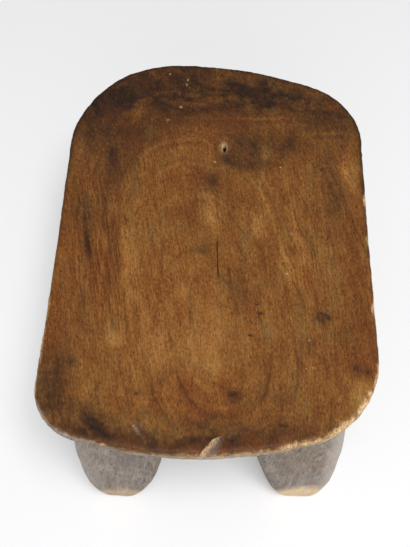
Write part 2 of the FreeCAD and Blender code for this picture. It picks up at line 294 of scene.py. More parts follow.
# %% Sink the marks and roughen the hewn faces
CHIP_END, CHIP_TAIL = 12, 5  # x in mm where the scar ends, and over how many mm it runs out
CHIP_WIDE, CHIP_CLIMB = 11, 6  # mm from the lip to the scar's far side, and of the climb there
CHIP_DROP, CHIP_DEPTH = 1.4, 1.6  # mm behind the lip that the drop takes, and how deep it is
PALE_WIDE, PALE_END, PALE_TAIL = 4.6, 10, 4  # mm behind the lip that are pale, and x and run-out of that
TOP_SKIN = 5  # mm: the top is what lies less than this below the dish
SWELL = (38, 0.35)  # mm, length and height of the top's swell
ADZE = (20, 0.9)  # mm, width and depth of the adze's scallops
ROUGH = ((3.5, 0.3), (9, 0.3))  # mm, length and height of the bumps on the rim
ROUGH_RIM = 7  # mm in from the outline that the rim is rough


def chip(point):
    """How deep the splinter's scar is at a point, how pale by its lip and how grey beyond."""
    inside = 99
    for start, end in zip(CHIP_LIP, CHIP_LIP[1:]):
        line = (end - start).normalized()
        inside = min(inside, (point - start).dot(Vector((line.y, -line.x))))
    if inside < 0 or point.x > CHIP_END:
        return 0, 0, 0
    tail = min(1, (CHIP_END - point.x) / CHIP_TAIL)
    scar = max(0, min(1, (CHIP_WIDE - inside) / CHIP_CLIMB)) * tail
    pale = max(0, 1 - inside / PALE_WIDE) * max(0, min(1, (PALE_END - point.x) / PALE_TAIL))
    return min(1, inside / CHIP_DROP) * CHIP_DEPTH * scar, pale, min(1, inside / 2) * scar


seat.normal_update()
for vert in seat.verts:
    plan = vert.co.xy
    depth_below = top(plan.x, plan.y) - vert.co.z
    if depth_below < TOP_SKIN:
        sink = chip(plan)[0] - noise.noise(vert.co / SWELL[0]) * SWELL[1]
        for start, end, width, depth in CHECKS:
            line = (end - start).normalized()
            share = (plan - start).dot(line) / (end - start).length
            if 0 < share < 1:
                off = abs((plan - start).dot(Vector((-line.y, line.x))))
                sink += depth * max(0, 1 - off / width * 2) * math.sin(math.pi * share) ** 0.5
        for x, y, half_width, half_length, depth in PITS:
            bowl = 1 - math.hypot((plan.x - x) / half_width, (plan.y - y) / half_length) ** 2
            sink += depth * max(0, bowl)
        vert.co.z -= sink
    else:
        vert.co += vert.normal * (noise.voronoi(vert.co / ADZE[0])[0][0] - 0.45) * ADZE[1]
    if inside_rim(plan.x, plan.y)[0] < ROUGH_RIM:
        vert.co += vert.normal * sum(noise.noise(vert.co / length) * height for length, height in ROUGH)
lowest = min(vert.co.z for vert in seat.verts if vert.normal.z > LOOKS_UP)
print("deepest top vertex is at", round(lowest, 1), "mm")

# %% [markdown]
# ## From a bmesh to a piece
# A finished bmesh becomes one object at the origin, in metres, with smooth shading. It then rides on the
# CAD body root, and the CAD node that it stands for is hidden.

# %% Turn a bmesh into a piece of the stool
def new_object(mesh, name):
    """An object of the scene, made from a bmesh."""
    data = bpy.data.meshes.new(name)
    mesh.to_mesh(data)
    mesh.free()
    item = bpy.data.objects.new(name, data)
    bpy.context.scene.collection.objects.link(item)
    return item


def make_piece(mesh, name, node):
    """One finished object, in metres at the origin, that stands for a CAD node."""
    bmesh.ops.recalc_face_normals(mesh, faces=mesh.faces[:])
    piece = new_object(mesh, name)
    piece.data.transform(Matrix.Scale(0.001, 4))
    piece.data.shade_smooth()
    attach(piece, "root")
    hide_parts(node)
    print(name, "has", sum(len(face.vertices) - 2 for face in piece.data.polygons), "triangles")
    return piece


seat_piece = make_piece(seat, "carved_seat", "seat")

# %% [markdown]
# ## Four hewn legs
# Each leg is a squat block with soft corners that narrows to the foot, leans outwards a little and swells
# into the seat with no seam, because the log was never cut there. A tapered cylinder would be too round, so
# a ring is extruded up through the sizes that the CAD loft has. Only the feet have rounder, worn corners,
# and the front ones stand a millimetre farther forward. Each ring is a rounded block: a walk round it meets
# a flat, a bend and half of the next flat in every quarter.

# %% Shape the sections of a leg
LEGS = {  # middle of the foot, and of the leg at the height of the seat
    "front_left_leg": (Vector((-73.5, -147)), Vector((-61.5, -129.5))),
    "front_right_leg": (Vector((77.5, -143)), Vector((64, -121))),
    "back_left_leg": (Vector((-72.5, 135)), Vector((-60.5, 122))),
    "back_right_leg": (Vector((75.5, 130)), Vector((63.5, 116))),
}
LEVELS = (0, 40, 105, 150)  # mm above the floor, the heights of the four sections
WIDTHS = (36.5, 53, 68.5, 72)  # mm across at each level
DEPTHS = (38.5, 52.5, 61.5, 68)  # mm from front to back
CORNERS = (12, 10, 15, 22)  # mm, the radius of the soft corners
SHARPEST = 1.5  # mm, the least radius of a corner
AROUND_LEG = 120  # vertices of a ring
RIM_ROOM = 4.5  # mm that the leg's top stays in from the outline, clear of the rim's lower round


def between(values, height):
    """A smooth value at a height, through the values at the four levels."""
    total = 0
    for level, value in zip(LEVELS, values):
        others = [other for other in LEVELS if other != level]
        total += value * math.prod((height - other) / (level - other) for other in others)
    return total


def block_point(share, half_width, half_depth, radius):
    """A point of a rounded block's section, at a share of the way round it."""
    quarter, along = divmod(share * 4, 1)
    if quarter % 2:
        along = 1 - along
    flat = half_depth - radius
    bend = radius * math.pi / 2
    walked = along * (flat + bend + half_width - radius)
    angle = min(max(walked - flat, 0), bend) / radius
    x = half_width - radius + radius * math.cos(angle) - max(walked - flat - bend, 0)
    y = min(walked, flat) + radius * math.sin(angle)
    return x if quarter in (0, 3) else -x, y if quarter < 2 else -y


def leg_ring(foot, shoulder, height, grow, rise):
    """Where the vertices of one ring go: grow mm outside the section at a height, lifted by rise."""
    centre = foot.lerp(shoulder, height / LEVELS[-1])
    half_width = between(WIDTHS, height) / 2 + grow
    half_depth = between(DEPTHS, height) / 2 + grow
    radius = max(SHARPEST, between(CORNERS, height) + grow)

    def place(vert):
        x, y = block_point(vert[turn] / AROUND_LEG, half_width, half_depth, radius)
        point = Vector((centre.x + x, centre.y + y, 0))
        if callable(rise):
            room, nearest = inside_rim(point.x, point.y)
            point -= outward[nearest] * max(0, RIM_ROOM - room)
            point.z = rise(point)
        else:
            point.z = rise
        return point
    return place


print("a leg is", WIDTHS[0], "mm wide at the foot and", round(between(WIDTHS, BELLY), 1), "mm at the seat")

# %% [markdown]
# The ring starts inside the sole, rolls over the worn edge of the foot and climbs to the seat, where a
# small cove spreads it against the underside. Then the knife's scallops are pressed in: a Voronoi distance
# has a round hollow in every cell and a ridge between cells, as overlapping cuts leave them.

# %% Hew the legs
SOLE = ((-7, 0), (-4, 0), (-2.4, 0.4), (-1.1, 1.2), (-0.3, 2.5), (0, 4))  # mm outwards and up
RING_GAP = 2  # mm between the rings of the shaft
COVE = 5  # mm, the hollow round where the leg swells into the seat
IN_SEAT = (COVE + 1.5, 2.5)  # mm outwards and up into the seat, the last ring
COVE_LEVEL = 138  # mm above the floor, the section that the cove starts from
KNIFE_CUT, KNIFE_DEPTH = (16, 16, 30), 1.3  # mm, the size of the knife's scallops and their depth
leg_pieces = []
for name, (foot, shoulder) in LEGS.items():
    leg = bmesh.new()
    turn = leg.verts.layers.int.new("turn")
    bmesh.ops.create_circle(leg, cap_ends=True, segments=AROUND_LEG, radius=1)
    for index, vert in enumerate(leg.verts):
        vert[turn] = index
        vert.co = leg_ring(foot, shoulder, 0, -9, 0)(vert)
    ring = leg.edges[:]
    for grow, rise in SOLE:
        ring = next_ring(leg, ring, leg_ring(foot, shoulder, 0, grow, rise))
    for height in range(5, BELLY, RING_GAP):
        ring = next_ring(leg, ring, leg_ring(foot, shoulder, height, 0, height))
    cove = [(COVE - COVE * math.cos(angle), COVE * math.sin(angle) - COVE) for angle in arc]
    for grow, lift in cove + [IN_SEAT]:
        ring = next_ring(leg, ring, leg_ring(
            foot, shoulder, COVE_LEVEL, grow, lambda point, lift=lift: under(point.x, point.y) + lift
        ))
    bmesh.ops.edgeloop_fill(leg, edges=ring)
    bmesh.ops.recalc_face_normals(leg, faces=leg.faces[:])
    leg.normal_update()
    for vert in leg.verts:
        if vert.co.z > 1:
            cut = Vector([place / size for place, size in zip(vert.co, KNIFE_CUT)])
            vert.co += vert.normal * (noise.voronoi(cut)[0][0] ** 2 - 0.25) * KNIFE_DEPTH
    leg_pieces.append(make_piece(leg, "hewn_" + name, name))

# %% [markdown]
# ## Where the wood is dark, ruddy, worn or bare
# Sitting polished the middle of the seat to gold, while dirt and handling darkened the edges and oil left
# some places ruddy. A list of stains is easier to read and change than a painted texture: it says where
# each one lies, how large it is, which way it leans and how strong it is. They were placed one by one, and
# then made stronger or weaker and added to until each part of the seat was about as light as in the
# photograph.

# %% List the stains
STAINS = [  # x, y, half width, half length in mm, turn in degrees, strength: dark above 0, pale below
    (-60, 156, 62, 26, 10, 0.6), (32, 152, 66, 26, -8, 0.55), (-105, 116, 18, 34, -30, 0.45),
    (-70, 108, 11, 16, 0, 0.3), (-84, 74, 15, 26, 0, 0.28), (101, 124, 22, 16, -15, 0.4),
    (-99, -4, 4.5, 26, 8, 0.28), (-77, -19, 4, 16, 10, 0.2), (-108, 28, 8, 24, 0, 0.25),
    (-109, -124, 15, 24, -10, 0.5), (-101, -150, 20, 15, -30, 0.3), (-74, -158, 21, 8, -35, 0.45),
    (-58, -172, 40, 7, -8, 0.4), (-11, -170, 40, 8, 0, 0.4), (47, -162, 36, 10, 10, 0.5),
    (89, -141, 15, 9, 25, 0.12), (111, -113, 8, 6, 0, 0.2), (83, -69, 6, 5.5, 0, 0.28),
    (19, -132, 6, 6, 0, 0.4), (-3, 58, 10, 12, 0, 0.6), (26, 86, 22, 14, -15, 0.45),
    (61, 93, 10, 11, 0, 0.35), (18, -40, 10, 28, 35, 0.2), (103, 49, 8, 22, 0, 0.25),
    (112, -3, 5, 38, 3, 0.2), (113, -70, 7, 25, 5, 0.15), (-31, -118, 8, 11, -20, 0.2),
    (-23, 23, 12, 13, 0, 0.2), (17, 39, 9, 13, 0, 0.15), (57, 25, 5, 9, 0, 0.15),
    (-110, -86, 9, 28, -5, 0.08), (66, 138, 34, 18, -22, 0.08), (36, 133, 46, 9, -3, 0.15),
    (-20, -160, 90, 9, 0, 0.12), (-84, 96, 30, 42, 0, 0.15), (-28, 126, 52, 16, -3, 0.36),
    (24, 104, 20, 12, -10, 0.25), (-88, 55, 12, 60, 0, 0.2), (93, 60, 12, 60, 0, 0.2),
    (100, -78, 12, 22, 0, 0.18), (52, -136, 10, 8, 0, 0.25), (2, -152, 22, 6, 0, 0.2),
    (-50, 122, 30, 24, 0, 0.22), (-80, 144, 18, 12, 20, 0.3), (32, 148, 24, 7, 0, 0.25),
    (75, 104, 45, 14, 0, 0.12), (-62, 98, 20, 14, 0, 0.12), (40, 139, 14, 5, 5, 0.3),
    (-8, 165, 30, 5, 0, -0.15), (-90, 128, 9, 10, 0, 0.25), (-45, -163, 8, 3, -48, 0.15),
    (-9, -168.5, 8, 4.5, 0, 0.25), (-12, -151, 22, 4, 0, 0.2), (-69, 122, 11, 9, 0, -0.42),
    (6, 84, 7, 8, 0, 0.3), (-20, -75, 22, 60, 0, -0.15), (88, 70, 1.6, 1.6, 0, 0.5),
    (62, 12, 2, 2, 0, 0.35), (-63, -22, 6, 38, 12, -0.25), (2, -92, 13, 32, 0, -0.3),
    (12, -119, 15, 6, -20, -0.2), (-1.5, 24, 3.6, 15, 8, -0.6), (36, 15, 5, 9, 15, -0.45),
    (59, -19, 3.2, 13, 12, -0.3), (109, 64, 4, 17, 0, -0.45), (67, 1, 4, 36, 8, -0.2),
    (-70, -91, 3.6, 4, 0, -0.5), (-45, -80, 7, 32, 22, -0.22), (-42, -95, 16, 26, 20, -0.12),
    (-86, -140, 10, 11, 0, -0.2), (-69, 130, 12, 9, 0, -0.28), (56, 152, 8, 7, 0, -0.08),
    (20, 147, 16, 5, 0, 0.1), (-90, 106, 26, 20, 0, 0.12), (15, 119, 22, 9, 0, 0.12),
    (74, 119, 20, 12, 0, 0.14), (112, 106, 10, 20, 0, 0.14), (66, 152, 22, 12, -15, 0.12),
    (-90, 20, 14, 14, 0, 0.1), (-118, -118, 6, 30, 0, 0.2), (-112, -146, 9, 13, 0, 0.08),
    (-99, -122, 9, 18, 0, -0.12), (-32, 166, 14, 8, 0, 0.12), (-68, 100, 12, 10, 0, 0.12),
    (-98, 28, 16, 12, 0, 0.12), (-112, 66, 8, 16, 0, 0.1), (12, 76, 10, 8, 0, 0.15),
    (60, 93, 11, 9, 0, 0.22), (44, 75, 14, 7, 15, 0.25), (24, 76, 14, 7, -5, 0.2),
    (36, 98, 14, 8, 0, 0.15), (3, -172, 4, 7, -30, 0.4), (-50, -22, 10, 14, 0, -0.1),
    (44, -74, 16, 10, 0, -0.1), (12, -92, 8, 10, 0, 0.08), (-14, -46, 8, 10, 0, -0.1),
    (-32, -60, 8, 10, 0, -0.1), (34, -165, 10, 6, 0, -0.12), (110, -134, 9, 20, -35, -0.25),
    (92, 105, 10, 8, 0, 0.12), (-98, -140, 12, 8, -30, -0.04), (-77, -147, 10, 5, -20, 0.2),
    (-50, -150, 16, 6, 0, 0.12), (-86, -166, 8, 5, -30, 0.25), (-20, -172, 30, 4, 0, 0.15),
    (10, -166, 22, 7, 0, 0.16), (70, -90, 12, 10, 0, 0.1), (-50, -100, 16, 30, 15, -0.08),
    (110, -120, 8, 10, 0, -0.12), (30, -135, 10, 8, 0, 0.15), (-8, -150, 10, 6, 0, 0.14),
    (-90, -165, 8, 5, -30, 0.15), (-70, -165, 8, 5, 0, -0.15), (30, -165, 8, 5, 0, -0.1),
    (12, 88, 12, 9, 0, 0.15), (92, 30, 14, 40, 0, 0.12), (-70, 52, 12, 20, 0, 0.1),
    (-90, -85, 10, 14, 0, 0.12), (10, -92, 8, 24, 0, 0.1), (-30, -92, 10, 10, 0, -0.12),
    (-50, -25, 8, 14, 0, -0.12), (-18, -47, 14, 7, 0, -0.12), (42, -60, 14, 8, 0, -0.1),
    (10, 142, 12, 10, 0, -0.15), (-90, 150, 10, 8, 0, -0.15), (-7, -14, 6, 5, 0, 0.22),
    # The first row of the next line darkens the whole far end a little: painted shade where the light falls
    # off.
    (0, 138, 120, 42, 0, 0.05), (-30, 132, 16, 6, 0, -0.12), (-86, 94, 9, 9, 0, -0.14),
    (19, 88, 9, 6, 0, -0.22), (60, 114, 14, 7, 0, -0.12), (104, 84, 8, 9, 0, 0.08),
]
LINES = [  # the same, for thin streaks along the grain, scratches and small marks with clear edges
    (43.5, 30, 1.0, 30, 18, -0.4), (58, -19, 1.0, 20, 14, -0.35), (65, -1, 1.2, 48, 8, -0.25),
    (89, 7, 1.2, 60, 4, -0.2), (-98.3, -10, 1.9, 14, 12, 0.7), (-75, -14, 1.2, 24, 12, 0.35),
    (-83.4, 8.2, 1.3, 1.3, 0, 0.9), (-104, -8, 0.9, 26, 12, 0.2), (42.4, 81.2, 3, 3.5, 0, -0.5),
    (-101.5, 14, 0.8, 16, 15, 0.25), (-95.5, -18, 0.8, 12, 15, 0.4), (-84.5, 5, 0.8, 14, 13, 0.4),
    (-79.5, -38, 0.8, 12, 12, 0.4), (-91, 12, 1.0, 16, 14, -0.35), (-68, -20, 1.0, 22, 12, -0.3),
    (-88, -25, 0.9, 20, 12, -0.3), (-72, -60, 0.8, 22, 10, 0.25), (-83, -70, 0.9, 26, 8, -0.25),
    (-77, -158.5, 14, 3.6, -41, 0.4), (-43, -162.5, 11, 2.4, -25, 0.25), (-54, -155, 5, 1.6, -30, -0.4),
    (87.6, -68.4, 2.2, 2.6, 35, 0.6), (83.2, -64.4, 4, 1.2, -25, 0.45),
    (79.6, -67.6, 1.1, 2.6, -15, 0.4), (83, -71.5, 2.4, 2.4, 0, 0.25), (106.1, -109.5, 3.4, 3, 20, 0.85),
    (114.6, -112.7, 2, 2.6, 0, 0.8), (73.3, -95, 3, 9, 0, 0.22), (18.3, -131.3, 4.5, 2.6, 10, 0.7),
    (-96.5, -58, 2.4, 9, 5, 0.4), (-100, -111, 4.2, 4.2, 0, 0.35), (-66, 62, 0.9, 34, 6, 0.2),
    # The pale lines at y 122 and 106, each with a dark line 4 mm in front, paint the light and shade of two
    # creases.
    (31, 122, 40, 1.2, 1, -0.4), (96, 106, 17, 1.2, 0, -0.4), (40, 118, 30, 1.0, 1, 0.25),
    (97, 102, 16, 1.0, 0, 0.25), (-27, -18, 1.2, 4.5, -23, 0.35), (-22.5, -12.7, 4.2, 1.2, 33, 0.3),
    (-14.7, -10.1, 5.5, 1.2, 7, 0.3), (-6.8, -11.7, 4.5, 1.3, -34, 0.25),
]
RUDDY = [  # the same, for how red the oil made the wood
    (-113, 4, 10, 22, 0, 0.5), (-94, 10, 20, 80, 0, 0.15), (-84, -32, 13, 22, 6, 0.5),
    (-50, -20, 6, 16, 6, 0.4), (-24, 23, 8, 10, 0, 0.4), (114, 8, 8, 24, 0, 0.35),
    (112, -32, 7, 26, 4, 0.35), (108, -68, 10, 16, 0, 0.4), (-4, -135, 26, 14, -8, 0.7),
    (-115, -92, 8, 36, 0, 0.5), (-64, -170, 34, 5, -4, 0.5), (104, -104, 16, 14, 0, 0.6),
    (108, -134, 12, 22, -35, -0.4), (26, -170, 26, 6, 4, 0.8), (-88, 118, 18, 14, 0, 0.4),
    (-82, 98, 7, 8, 0, 0.5), (-64, 100, 8, 14, 0, 0.5), (-10, 60, 18, 12, 0, 0.4),
    (10, 114, 22, 8, 0, 0.4), (75, 88, 9, 12, 0, 0.5), (-30, 160, 60, 14, 0, 0.3),
    (-92, -143, 30, 14, -25, -0.4), (40, -82, 18, 20, 0, -0.25), (28, 165, 18, 8, 0, -0.4),
    (12, 30, 14, 26, 0, -0.2), (-40, 118, 18, 14, 0, 0.25), (-45, -165, 22, 8, -5, -0.3),
    (-58, -151, 40, 10, -5, -0.25), (-1, 24, 5, 15, 8, -0.5), (36, 15, 6, 9, 15, -0.4),
    (0, 118, 60, 14, 0, 0.25), (-15, -172, 34, 5, 0, 0.5), (-84, -12, 8, 20, 10, 0.4),
    (118, -100, 6, 16, 0, 0.4),
]
STREAKY = [  # the same, for how much the fibres show as dark and pale streaks
    (-92, -5, 22, 48, 12, 0.45), (-70, 60, 26, 50, 8, 0.2), (80, 10, 34, 80, 8, 0.12),
    (-80, -90, 30, 40, 5, 0.12), (0, 148, 120, 30, 0, -0.26), (0, -164, 120, 18, 0, -0.24),
]
print(len(STAINS), "stains,", len(LINES), "lines,", len(RUDDY) + len(STREAKY), "ruddy or streaky places")

# %% [markdown]
# A stain is a soft spot that fades out all round. Many of them added up give one number at each vertex,
# which a material reads as an attribute of the mesh. Numpy reckons for all vertices at once, because a
# loop over every vertex would be slow. A ramp turns millimetres into a share between 0 and 1.

# %% Helpers that turn lists into numbers at the vertices
import numpy as np

HIGHEST = 1.2  # numbers at the vertices are kept between 0 and this


def spread(points, rows):
    """Sum of soft spots, one for each row, at every point of the plan."""
    total = np.zeros(len(points))
    for x, y, half_width, half_length, turned, strength in rows:
        angle = math.radians(turned)
        dx = points[:, 0] - x
        dy = points[:, 1] - y
        u = (dx * math.cos(angle) + dy * math.sin(angle)) / half_width
        v = (dy * math.cos(angle) - dx * math.sin(angle)) / half_length
        total += strength * np.exp(-(u * u + v * v))
    return total


def wobble(points, sizes, seed):
    """Soft noise from -1 to 1 at every point, with one size in mm for each axis."""
    scaled = points / np.array(sizes) + np.array((seed, 0, 0))
    return np.array([noise.noise(Vector(place)) for place in scaled])


def ramp(values, start, full):
    """0 at start and before it, 1 at full and beyond it, with a straight climb between the two."""
    return np.clip((values - start) / (full - start), 0, 1)


def write_attribute(piece, name, values):
    """One number at each vertex of a piece, for its material to read."""
    layer = piece.data.attributes.new(name, "FLOAT", "POINT")
    layer.data.foreach_set("value", np.clip(values, 0, HIGHEST).astype(np.float32))


def points_of(piece):
    """The vertices of a piece, in mm."""
    flat = np.empty(len(piece.data.vertices) * 3, dtype=np.float32)
    piece.data.vertices.foreach_get("co", flat)
    return flat.reshape(-1, 3).astype(float) * 1000


points = points_of(seat_piece)
sideways, lengthways = points[:, 0], points[:, 1]
below = top(sideways, lengthways) - points[:, 2]
inset = np.array([inside_rim(x, y)[0] for x, y, _ in points])
print("seat has", len(points), "vertices, up to", round(below.max()), "mm below the dish")

# %% [markdown]
# Noise bends the stains first, so that none of them is a clean oval. Patina is the dirt of years, with
# some painted shade in it: a few rows of the lists, and a dark line along the rim's round from the middle
# of the sides round the back. Ruddy is the oil and streaky says how clearly the fibres show. Hands gripped
# both ends, so smears run across the grain there. The fibres fan out from left to right, so each vertex
# also carries coordinates in which they are straight, and one noise can draw them all.

# %% Write dirt, oil and fibres to the seat
DIRT, OIL, FIBRES = 0.37, 0.15, 0.38  # what every vertex has of each before the lists count
WARP, BEND = (14, 30, 14), (25, 40, 25)  # mm, the sizes of the noise that bends stains and lines
warped = points.copy()
warped[:, 0] += 5 * wobble(points, WARP, 3)
warped[:, 1] += 7 * wobble(points, WARP, 9)
bent = points.copy()
bent[:, 0] += 1.5 * wobble(points, BEND, 11)
patina_and_shade = DIRT + spread(warped, STAINS) + spread(bent, LINES) + 0.10 * wobble(points, (9, 40, 9), 5)
patina_and_shade += spread(points, [(x, y, wide + 0.5, long + 0.4, 0, 0.7) for x, y, wide, long, _ in PITS[1:]])
# Painted shade: a dark line along the rim's round, from the middle of the sides round the back.
patina_and_shade += 0.3 * np.exp(-(inset / 2.5) ** 2) * ramp(lengthways, -60, 20)
smeared = 0.22 * wobble(points, (16, 5, 16), 13) + 0.2 * wobble(points, (5, 2.5, 5), 15)
patina_and_shade += smeared * (ramp(lengthways, 105, 130) + 0.8 * ramp(lengthways, -118, -143))
write_attribute(seat_piece, "patina_and_shade", patina_and_shade)
ruddy = OIL + spread(warped, RUDDY) + 0.3 * wobble(points, (16, 36, 16), 7)
write_attribute(seat_piece, "ruddy", ruddy)
write_attribute(seat_piece, "streaky", FIBRES + spread(warped, STREAKY))
lean = np.radians(8 - 6 * sideways / 110)  # the fibres lean more on the left
straight = points.copy()
straight[:, 0] += lengthways * np.tan(lean)
layer = seat_piece.data.attributes.new("straight", "FLOAT_VECTOR", "POINT")
layer.data.foreach_set("vector", (straight / 1000).astype(np.float32).ravel())
print("patina from", round(patina_and_shade.min(), 2), "to", round(patina_and_shade.max(), 2))

# %% [markdown]
# Bare wood shows where the rim was rubbed or knocked, in the broken splinter, round the lost knot and in a
# few small flecks. Along the front and the left the wear is only a thin line on the edge, but at the right
# corner it takes the whole rim. Some also shows through on the wall of the front edge, less on its left.

# %% Find the bare wood
ON_TOP = 3  # mm below the dish that a mark on the top may reach
WORN_EDGES = [  # x, y and reach in mm, strength, how many mm the bare wood goes in from the edge and down
    (-60, -176, 26, 0.35, 1, 5), (-20, -178, 24, 0.5, 1.2, 5), (30, -176, 30, 0.55, 1.6, 6),
    (66, -166, 22, 0.75, 2.4, 7), (92, -153, 18, 0.8, 3.8, 13), (109, -138, 18, 0.9, 4.2, 13),
    (118, -118, 14, 0.8, 3.5, 11), (122, 39, 6, 1.0, 3.5, 9), (122, 26, 8, 0.6, 2, 6),
    (122, 1, 6, 0.9, 3, 8), (123, -61, 6, 1.0, 4.2, 8), (123, -30, 14, 0.5, 1.5, 5),
    (-122, -132, 12, 0.8, 2, 10), (-123, -66, 24, 0.75, 2.0, 7), (-123, -98, 22, 0.85, 2.2, 8),
    (-113, -147, 14, 0.25, 5, 8), (-98, -160, 16, 0.22, 5, 8), (-80, -168, 14, 0.22, 4, 8),
    (-71, -173, 2.6, 0.7, 4.5, 4), (-57, -176, 2.2, 0.7, 3, 4),
]
ragged = wobble(points, (3, 9, 3), 1) * 0.5 + wobble(points, (1.4, 4, 1.4), 2) * 0.3
bare = np.zeros(len(points))
for x, y, reach, strength, deep, down in WORN_EDGES:
    near = spread(points, [(x, y, reach, reach, 0, strength)])
    edge = ramp(0.6 + deep * near * (1 + 1.8 * ragged) - inset, 0, 2.8) * ramp(below, down, down - 2)
    bare = np.maximum(bare, edge * np.clip(near * 1.4 + ragged, 0, 1))
front_wall = ramp(lengthways, -110, -140) * ramp(below, 2.5, 4.5) * (below < 13)
shown = 0.34 - 0.3 * ramp(sideways, -25, -55)
chips = np.array([
    chip(Vector((x, y))) if low < 6 else (0, 0, 0)
    for (x, y, _), low in zip(points, below)
])
knot_ring = [(6.8, 91.4, 2.6, 4.4, 0, 0.74)]
flecks = [(x, y, size, size, 0, 0.7) for x, y, size in FLECKS]
for more in (
    front_wall * np.clip(shown + ragged, 0, 1),
    chips[:, 1] * (0.72 + 0.4 * ragged),
    spread(points, knot_ring) * (below < ON_TOP),
    spread(points, flecks) * (below < ON_TOP),
):
    bare = np.maximum(bare, more)
write_attribute(seat_piece, "bare", bare)
print("bare vertices:", int((bare > 0.5).sum()), "of", len(points))

# %% [markdown]
# The wall of the rim and the underside were never polished, so they are weathered. At the front left
# corner the grey creeps over the edge, and two scuffs on the top are grey too. The cracks and the lost
# knot's hole are painted almost black, as painted shade in these recesses, and so is a line along the round
# of the rim from the middle of the sides round the back.

# %% Find the weathered wood and the painted shade
GREYED_EDGES = [  # x, y and reach in mm, and how many mm the grey of the wall goes in from the edge
    (-121, -128, 14, 2), (-112, -147, 16, 2.6), (-98, -160, 16, 2.4), (-80, -169, 16, 1.8),
]
SCUFFS = [  # grey scuffs on the top, listed as the stains are
    (-48.6, -160.3, 1.1, 3.8, 38, 0.6), (-44.5, -158, 0.8, 3, 30, 0.35),
]
RIM_WIDE = 12  # mm in from the outline that count as the rim
DEEPEST = 10  # mm below the dish, deeper than any crack
weathered = ramp(below + ragged * 2, 3.8, 6.3)
for x, y, reach, deep in GREYED_EDGES:
    near = spread(points, [(x, y, reach, reach, 0, 1)])
    weathered = np.maximum(weathered, ramp(deep * near * (1 + ragged / 2) - inset, 0, 1.5))
weathered = np.maximum(weathered * (inset < RIM_WIDE), chips[:, 2] * 0.33)
weathered = np.maximum(weathered, spread(bent, SCUFFS) * (below < ON_TOP))
write_attribute(seat_piece, "weathered", weathered + (below > 6))
# Painted shade: the cracks are painted almost black where they lie deeper than 1.2 mm below the dish.
hollow = ramp(below, 1.2, 2.7) * (inset > RIM_WIDE) * (below < DEEPEST)
# Painted shade in the knot's hole.
knot_hole = [(7.6, 89.9, 1.2, 3.2, 0, 1.6)]
hollow = np.maximum(hollow, spread(points, knot_hole) * (below < 6))
# Painted shade, almost black, along the round of the rim from the middle of the sides round the back.
shaded_rim = (0.55 + 0.6 * ragged) * np.exp(-(inset / 4.4) ** 2) * ramp(lengthways, -20, 70) * (below < 9)
hollow = np.maximum(hollow, shaded_rim * (1 - np.clip(bare, 0, 1)))
write_attribute(seat_piece, "hollow", hollow)
print("weathered vertices:", int((weathered > 0.5).sum()), "and dark ones:", int((hollow > 0.5).sum()))

# %% [markdown]
# The feet are bare too: the floor has rubbed a pale band round each sole. On the two front legs the band
# climbs the face that points forwards, higher towards the right and paler on the right leg, so a vertex
# needs to know which way it faces from the middle of its leg. The outer sides of the legs are painted
# lighter, the right front one most: painted light, as the white floor throws light back onto them. Painted
# shade darkens the legs high up, where the seat overhangs them.

# %% Rub the feet
FEET = {  # mm the band climbs the front and the rest, how pale it is, the painted light on the outside
    "front_left_leg": (41, 8, 0.5, 0.48),
    "front_right_leg": (43, 9, 0.95, 0.95),
    "back_left_leg": (10, 8, 0.8, 0.45),
    "back_right_leg": (12, 8, 0.8, 0.45),
}
# Painted shade: darker spots high on the legs, where the seat overhangs them.
SHADE_UNDER_SEAT = [  # x and height, half width and half height in mm, turn in degrees, strength
    (-62, 98, 17, 14, 0, 0.9), (58, 80, 12, 24, 0, 0.6),
]
BAND_FADE = 15  # mm over which the band fades out upwards
for piece, (name, (front, rest, pale, side_light)) in zip(leg_pieces, FEET.items()):
    foot = LEGS[name][0]
    points = points_of(piece)
    from_middle = points[:, 0] - foot.x
    facing = ramp(points[:, 1], foot.y, foot.y - 19) ** 3 * np.clip(1 - (from_middle / 25) ** 4, 0, 1)
    ragged = wobble(points, (9, 9, 9), 4) * 3 + wobble(points, (2, 2, 5), 6) * 2.5
    climb = rest + (front - rest + 0.25 * from_middle) * facing + ragged
    write_attribute(piece, "bare", ramp(climb - points[:, 2], 0, BAND_FADE) * pale)
    # Painted light: the outer sides get lighter, as light thrown back from the white floor makes them.
    outside = from_middle * np.sign(foot.x)
    write_attribute(piece, "painted_side_light", np.clip((outside - 8 + ragged) / 18, 0, HIGHEST) * side_light)
    # Painted shade high on the legs, under the overhang of the seat.
    write_attribute(piece, "painted_shade", spread(points[:, [0, 2]], SHADE_UNDER_SEAT) * (1 + ragged / 12))
print("feet rubbed:", FEET)

# %% [markdown]
# ## Materials
# Colours are picked as the hex codes of a screen, and Blender reckons with linear light, so one function
# changes them. Another adds a node with its settings and its links, so that a material reads as a list of
# steps. A third lays colours over each other: every layer says what it follows, where it starts, where it
# is full and how much of it there is at most.

# %% Helpers for materials
def linear(code):
    """A screen colour such as #8A5E30 as linear red, green, blue and alpha."""
    parts = [int(code[place:place + 2], 16) / 255 for place in (1, 3, 5)]
    return [part / 12.92 if part <= 0.04045 else ((part + 0.055) / 1.055) ** 2.4 for part in parts] + [1.0]


def add(owner, kind, inputs=None, **settings):
    """Adds a node; inputs holds values, hex colours or sockets to link, by the input's name or number."""
    node = owner.node_tree.nodes.new("ShaderNode" + kind)
    for name, value in settings.items():
        setattr(node, name, value)
    for name, value in (inputs or {}).items():
        if isinstance(value, bpy.types.NodeSocket):
            owner.node_tree.links.new(value, node.inputs[name])
        else:
            node.inputs[name].default_value = linear(value) if isinstance(value, str) else value
    return node


def new_material(name):
    """An empty material with its shader, ready for nodes."""
    material = bpy.data.materials.new(name)
    material.use_nodes = True
    return material, material.node_tree.nodes["Principled BSDF"]


FACTOR, FIRST, SECOND, MIXED = 0, 6, 7, 2  # a colour Mix node's inputs and its output, by number


